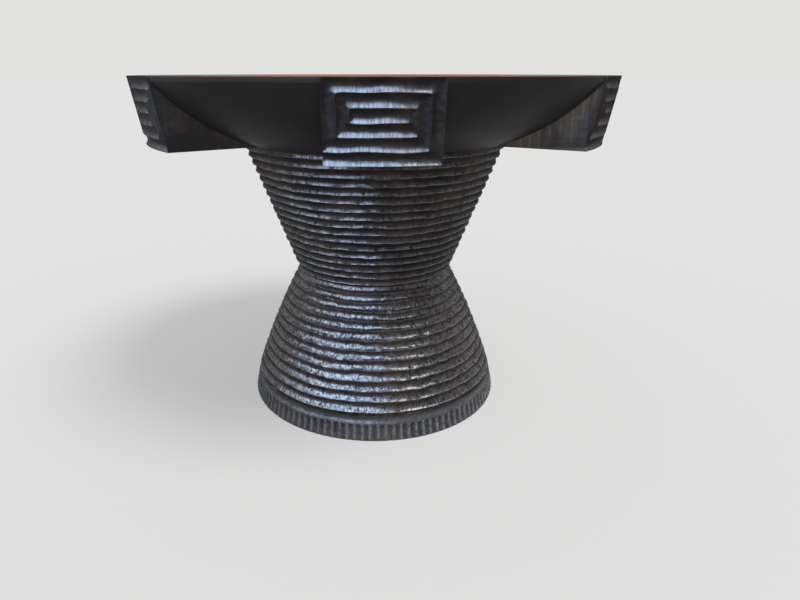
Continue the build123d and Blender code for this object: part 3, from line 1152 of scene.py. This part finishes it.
def make_lugs():
    """Six lugs: the block is modelled once, and each copy is carved by itself."""
    s = sizes()
    rows = spread([i / s.spiral_rows for i in range(s.spiral_rows + 1)], [12] * s.spiral_rows)
    block = lug_block("lug_block", lug_columns(), rows=rows)
    lugs = []
    for index, name in enumerate(LUG_NAMES):
        lug = copy_turned(block, "lug_carved_" + name, 0)
        carve_spiral(lug, 41 + index)
        bow(lug)
        cut(lug, [mortise(s.glue_gap)])
        turned = copy_turned(lug, lug.name, math.tau * index / PLACES)
        bpy.data.objects.remove(lug)
        turned.name = "lug_carved_" + name
        smooth(turned, SOFT_EDGE)
        mark_polish(turned)
        lugs.append(turned)
    bpy.data.objects.remove(block)
    return lugs


def make_bowl():
    """Turned bowl with its hollow, boss and rebate, cut for the lugs, tongues and screws."""
    s = sizes()
    arc = bowl_arc()
    top, arris = s.table_height, s.rim_arris
    inner = s.board_radius + s.glue_gap
    floor = s.drum_top + s.bowl_floor
    boss = s.bore_radius - s.glue_gap
    points = [
        (0, s.drum_top - s.boss_height),
        (boss, s.drum_top - s.boss_height),
        (boss, s.drum_top),
        (s.bowl_foot_radius - arris, s.drum_top),
        *[arc.at(step / SWELL_STEPS) for step in range(SWELL_STEPS + 1)],
        (s.rim_radius, top - arris),
        (s.rim_radius - 0.3 * arris, top - 0.3 * arris),
        (s.rim_radius - arris, top),
        (inner + 0.4 * arris, top),
        (inner, top - 0.4 * arris),
        (inner, s.board_seat),
        (s.bowl_hollow, s.board_seat),
        (s.bowl_hollow, floor),
        (0, floor),
    ]
    piece = outline("bowl_turned", points)
    turn(piece, ROUND_STEPS)
    half = s.lug_width / 2
    steps = range(-HOUSING_STEPS, HOUSING_STEPS + 1)
    wide = (half + s.glue_gap) / half
    columns = [half * step / HOUSING_STEPS * wide for step in steps]
    housing = lug_block("housing", columns, s.glue_gap)
    bow(housing)
    cutters = []
    for index in range(PLACES):
        turn_angle = math.tau * index / PLACES
        cutters.append(copy_turned(housing, "housing_cut", turn_angle))
        slot = mortise(s.glue_gap)
        cutters.append(copy_turned(slot, "mortise_cut", turn_angle))
        bpy.data.objects.remove(slot)
    bpy.data.objects.remove(housing)
    tip = s.drum_top - s.boss_height - OVERCUT
    cut(piece, cutters + screw_holes(tip, floor + OVERCUT))
    smooth(piece, CRISP_EDGE)
    return piece


# ---- Top board ---------------------------------------------------------------------------


def make_top_board():
    """Round board with a fine arris, grooved underneath for its two battens."""
    s = sizes()
    bpy.ops.object.select_all(action="DESELECT")
    bpy.ops.mesh.primitive_cylinder_add(
        vertices=ROUND_STEPS,
        radius=s.board_radius,
        depth=s.table_height - s.board_seat,
        location=(0, 0, (s.table_height + s.board_seat) / 2),
    )
    bpy.ops.object.transform_apply(location=True)
    piece = bpy.context.object
    piece.name = "top_board_polished"
    piece.data.name = piece.name
    bevel = piece.modifiers.new("arris", "BEVEL")
    bevel.width = s.board_arris
    bevel.segments = 2
    bevel.limit_method = "ANGLE"
    bpy.ops.object.modifier_apply(modifier=bevel.name)
    cut(piece, [batten_groove(side * s.batten_offset) for side in (-1, 1)])
    smooth(piece, CRISP_EDGE)
    return piece


def batten_groove(middle):
    """Cutter for a batten's dovetail groove, along X."""
    s = sizes()
    gap = s.glue_gap
    neck = s.batten_neck / 2 + gap
    half_length = math.sqrt(
        (s.bowl_hollow - BATTEN_END_GAP) ** 2 - (s.batten_offset + s.batten_width / 2) ** 2
    )
    low, high = s.board_seat - OVERCUT, s.board_seat + s.dovetail_depth + gap
    below = neck - s.dovetail_flare * OVERCUT / s.dovetail_depth
    above = neck + s.dovetail_flare
    piece = outline("groove_cut", [(-below, low), (below, low), (above, high), (-above, high)])
    extrude_along_x(piece, [-half_length - gap, half_length + gap], middle, sense=1)
    return piece


# ---- Stage -------------------------------------------------------------------------------

CAMERA_PLACE = (-0.0376, -1.3832, 0.751)
CAMERA_TILT = math.radians(90 - 21.286)
CAMERA_HEADING = math.radians(-1.56)
CAMERA_LENS = 26.318
CAMERA_SHIFT = 0.0321
FLOOR_GLOW = 0.5  # share of the floor's look that no shadow darkens
SKY = (0.94, 0.97, 1.0)
SKY_STRENGTH = 0.48
SUN_STRENGTH = 2.0
SUN_WIDTH = math.radians(26)  # how broad the sun looks, for soft shadows
SUN_TILT = math.radians(28)
SUN_HEADING = math.radians(54)
PALE = (0.66, 0.79, 1.0)
BLUE = (0.40, 0.61, 1.0)
SOFTBOXES = [  # name, place, point it faces, size, radiance, tint
    ("front_softbox", (-1.3, -2.1, 2.3), (0, -0.2, 0.6), (4.2, 3.6), 4.6, PALE),
    ("key_softbox", (-0.9, -1.9, 2.1), (0, -0.2, 0.6), (2.6, 3.0), 6.0, BLUE),
    ("left_softbox", (-2.7, -0.7, 1.3), (0, 0, 0.4), (2.0, 1.6), 4.2, PALE),
]


def add_camera():
    """Camera at the table's front, a little above the top."""
    bpy.ops.object.camera_add(location=CAMERA_PLACE, rotation=(CAMERA_TILT, 0, CAMERA_HEADING))
    camera = bpy.context.object
    camera.data.lens = CAMERA_LENS
    camera.data.sensor_width = 36
    camera.data.shift_x = CAMERA_SHIFT
    camera.data.clip_start = 0.01
    bpy.context.scene.camera = camera


def add_softbox(name, place, aim, size, radiance, tint):
    """A rectangular softbox of an even radiance, turned towards a point and out of view. It
    only shows as a sheen: the sun and the sky light the colours."""
    bpy.ops.object.light_add(type="AREA", location=place)
    lamp = bpy.context.object
    lamp.name = name
    lamp.visible_camera = False
    lamp.visible_diffuse = False
    lamp.data.shape = "RECTANGLE"
    lamp.data.size, lamp.data.size_y = size
    lamp.data.energy = radiance * math.pi * size[0] * size[1]
    lamp.data.color = tint
    towards = [to - at for to, at in zip(aim, place)]
    flat = math.hypot(towards[0], towards[1])
    lamp.rotation_euler.x = math.atan2(flat, -towards[2])
    lamp.rotation_euler.z = math.atan2(-towards[0], towards[1])


def add_sun():
    """A broad, soft sun high on the right in front: the table's shadow falls back to the left."""
    bpy.ops.object.light_add(type="SUN")
    lamp = bpy.context.object
    lamp.name = "sun"
    lamp.data.energy = SUN_STRENGTH
    lamp.data.angle = SUN_WIDTH
    lamp.rotation_euler = (SUN_TILT, 0, SUN_HEADING)


def seen_rays(nodes):
    """1 for a surface that the camera sees, also in a reflection or through glass."""
    rays = [
        nodes.node("ShaderNodeLightPath", output=name)
        for name in ("Is Camera Ray", "Is Glossy Ray", "Is Transmission Ray")
    ]
    return rays[0].math("MAXIMUM", rays[1]).math("MAXIMUM", rays[2])


def add_world():
    """Even light from all round; the view and reflections show the backdrop's colour."""
    world = bpy.data.worlds.new("studio")
    bpy.context.scene.world = world
    world.use_nodes = True
    sky = Nodes(world.node_tree)
    light = sky.node("ShaderNodeBackground", None, {"Color": SKY, "Strength": SKY_STRENGTH})
    backdrop = sky.node("ShaderNodeBackground", None, {"Color": colours().floor})
    shown = sky.node("ShaderNodeMixShader", None, {0: seen_rays(sky), 1: light, 2: backdrop})
    sky.feed(world.node_tree.nodes["World Output"].inputs["Surface"], shown)


def add_floor():
    """A wide, plain, pale floor that keeps part of the table's shadow."""
    bpy.ops.mesh.primitive_circle_add(vertices=64, radius=60, fill_type="NGON")
    floor = bpy.context.object
    floor.name = "studio_floor"
    f = Finish("studio_floor")
    f.set(Base_Color=colours().floor, Roughness=0.9, Specular_IOR_Level=0.0)
    lit = Value(f, f.shader.outputs[0])
    glow = f.node("ShaderNodeEmission", None, {"Color": colours().floor})
    shown = f.node("ShaderNodeMixShader", None, {0: seen_rays(f) * FLOOR_GLOW, 1: lit, 2: glow})
    f.feed(f.tree.nodes["Material Output"].inputs["Surface"], shown)
    floor.data.materials.append(f.material)


# ---- Operators ---------------------------------------------------------------------------


class DRUMTABLE_OT_stage(bpy.types.Operator):
    """Sets up the camera, the lamps and the floor"""

    bl_idname = "drumtable.stage"
    bl_label = "Stage"

    def execute(self, context):
        scene = context.scene
        scene.view_settings.view_transform = "Standard"
        add_camera()
        add_world()
        add_sun()
        for softbox in SOFTBOXES:
            add_softbox(*softbox)
        add_floor()
        return {"FINISHED"}


class DRUMTABLE_OT_drums(bpy.types.Operator):
    """Models and finishes the two carved drums of the pedestal"""

    bl_idname = "drumtable.drums"
    bl_label = "Carved drums"

    def execute(self, context):
        finish = carved_finish()
        finish_piece(make_upper_drum(), finish, "black_wood", "upper_drum")
        finish_piece(make_lower_drum(), finish, "black_wood", "lower_drum")
        return {"FINISHED"}


class DRUMTABLE_OT_bowl(bpy.types.Operator):
    """Models and finishes the turned bowl"""

    bl_idname = "drumtable.bowl"
    bl_label = "Bowl"

    def execute(self, context):
        finish_piece(make_bowl(), bowl_finish(), "bowl_wood", "bowl")
        return {"FINISHED"}


class DRUMTABLE_OT_lugs(bpy.types.Operator):
    """Models and finishes the six lugs with their squared spirals"""

    bl_idname = "drumtable.lugs"
    bl_label = "Spiral lugs"

    def execute(self, context):
        finish = lug_finish()
        for name, lug in zip(LUG_NAMES, make_lugs()):
            finish_piece(lug, finish, "black_wood", "lug_" + name)
        return {"FINISHED"}


class DRUMTABLE_OT_top_board(bpy.types.Operator):
    """Models and finishes the round top board"""

    bl_idname = "drumtable.top_board"
    bl_label = "Top board"

    def execute(self, context):
        c = colours()
        finish = planed_finish("top_wood_polished", c.top_dark, c.top_light, TOP_PLANK, 0.52)
        finish_piece(make_top_board(), finish, "top_wood", "top_board")
        return {"FINISHED"}


class DRUMTABLE_OT_inner_pieces(bpy.types.Operator):
    """Finishes the battens, tongues, tenon, base board, screws and washers"""

    bl_idname = "drumtable.inner_pieces"
    bl_label = "Inner pieces"

    def execute(self, context):
        c = colours()
        bare = planed_finish("bare_planed_wood", c.bare_dark, c.bare_light, BARE_PLANK, 0.5)
        finish_nodes(bare, "top_battens", "lug_tongues", "waist_tenon", "base_board")
        finish_nodes(zinc_finish(), "crown_screws", "crown_washers")
        return {"FINISHED"}


class DRUMTABLE_PT_panel(bpy.types.Panel):
    """Lists the table's pieces, sizes and colours"""

    bl_idname = "DRUMTABLE_PT_panel"
    bl_label = "African Drum Table"
    bl_space_type = "VIEW_3D"
    bl_region_type = "UI"
    bl_category = "Drum Table"

    def draw(self, context):
        for operator in OPERATORS:
            self.layout.operator(operator.bl_idname)
        for group in (context.scene.drum_table_sizes, context.scene.drum_table_colours):
            for name in group.__annotations__:
                self.layout.prop(group, name)


OPERATORS = [
    DRUMTABLE_OT_stage,
    DRUMTABLE_OT_drums,
    DRUMTABLE_OT_bowl,
    DRUMTABLE_OT_lugs,
    DRUMTABLE_OT_top_board,
    DRUMTABLE_OT_inner_pieces,
]
CLASSES = [DrumTableSizes, DrumTableColours, *OPERATORS, DRUMTABLE_PT_panel]


def register():
    """Registers the classes and hangs the properties on the scene."""
    for one in CLASSES:
        bpy.utils.register_class(one)
    bpy.types.Scene.drum_table_sizes = bpy.props.PointerProperty(type=DrumTableSizes)
    bpy.types.Scene.drum_table_colours = bpy.props.PointerProperty(type=DrumTableColours)


def unregister():
    """Takes the properties and the classes away."""
    del bpy.types.Scene.drum_table_colours
    del bpy.types.Scene.drum_table_sizes
    for one in reversed(CLASSES):
        bpy.utils.unregister_class(one)


def main():
    """Makes the table and its stage."""
    register()
    bpy.ops.drumtable.stage()
    bpy.ops.drumtable.drums()
    bpy.ops.drumtable.bowl()
    bpy.ops.drumtable.lugs()
    bpy.ops.drumtable.top_board()
    bpy.ops.drumtable.inner_pieces()


if __name__ == "__main__":
    main()
